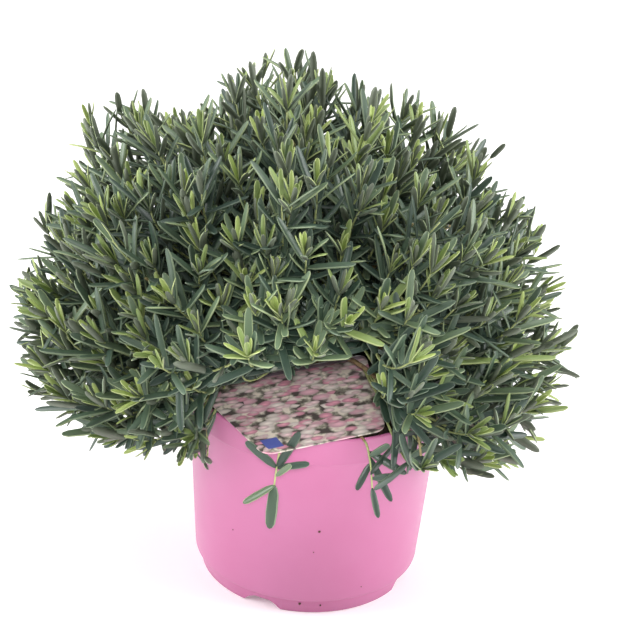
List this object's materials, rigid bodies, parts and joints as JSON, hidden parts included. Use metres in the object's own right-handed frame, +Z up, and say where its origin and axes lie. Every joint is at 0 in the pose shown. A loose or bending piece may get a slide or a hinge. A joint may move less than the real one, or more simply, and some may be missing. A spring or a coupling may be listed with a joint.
{
  "type": "potted blue ice bog rosemary",
  "caption": "Dwarf evergreen bog rosemary shrub with narrow blue-green leaves, a dome of shoots over a tapered pink plastic pot with soil and a plant label.",
  "frame": {"origin": "centre of the pot's flat underside", "axes": "+Z up the pot's axis, -Y towards the side with the label card, which the picture shows in front"},
  "size_m": [0.3412, 0.3119, 0.3092],
  "materials": {
    "pot": "satin moulded polypropylene, pink",
    "soil": "moist dark peat, crumbly",
    "label": "printed thin plastic card, satin",
    "bark": "thin grey-brown bark",
    "bough": "young brown to tan bark",
    "foliage": "waxy blue-green narrow leaves on pale green twigs"
  },
  "bodies": {
    "root": {"bough_middle_1": "bough", "bough_middle_2": "bough", "bough_middle_3": "bough", "bough_middle_4": "bough", "bough_middle_5": "bough", "bough_middle_6": "bough", "bough_middle_7": "bough", "bough_middle_8": "bough", "bough_skirt_1": "bough", "bough_skirt_2": "bough", "bough_skirt_3": "bough", "bough_skirt_4": "bough", "bough_skirt_5": "bough", "bough_skirt_6": "bough", "bough_skirt_7": "bough", "bough_skirt_8": "bough", "bough_sprig_1": "bough", "bough_sprig_2": "bough", "bough_top": "bough", "bough_upper_1": "bough", "bough_upper_2": "bough", "bough_upper_3": "bough", "bough_upper_4": "bough", "bough_upper_5": "bough", "bough_upper_6": "bough", "middle_mass_1": "foliage", "middle_mass_2": "foliage", "middle_mass_3": "foliage", "middle_mass_4": "foliage", "middle_mass_5": "foliage", "middle_mass_6": "foliage", "middle_mass_7": "foliage", "middle_mass_8": "foliage", "plant_label": "label", "pot": "pot", "skirt_mass_1": "foliage", "skirt_mass_2": "foliage", "skirt_mass_3": "foliage", "skirt_mass_4": "foliage", "skirt_mass_5": "foliage", "skirt_mass_6": "foliage", "skirt_mass_7": "foliage", "skirt_mass_8": "foliage", "soil": "soil", "sprig_1_mass": "foliage", "sprig_2_mass": "foliage", "stem_base": "bark", "top_mass": "foliage", "upper_mass_1": "foliage", "upper_mass_2": "foliage", "upper_mass_3": "foliage", "upper_mass_4": "foliage", "upper_mass_5": "foliage", "upper_mass_6": "foliage"}
  },
  "joints": []
}
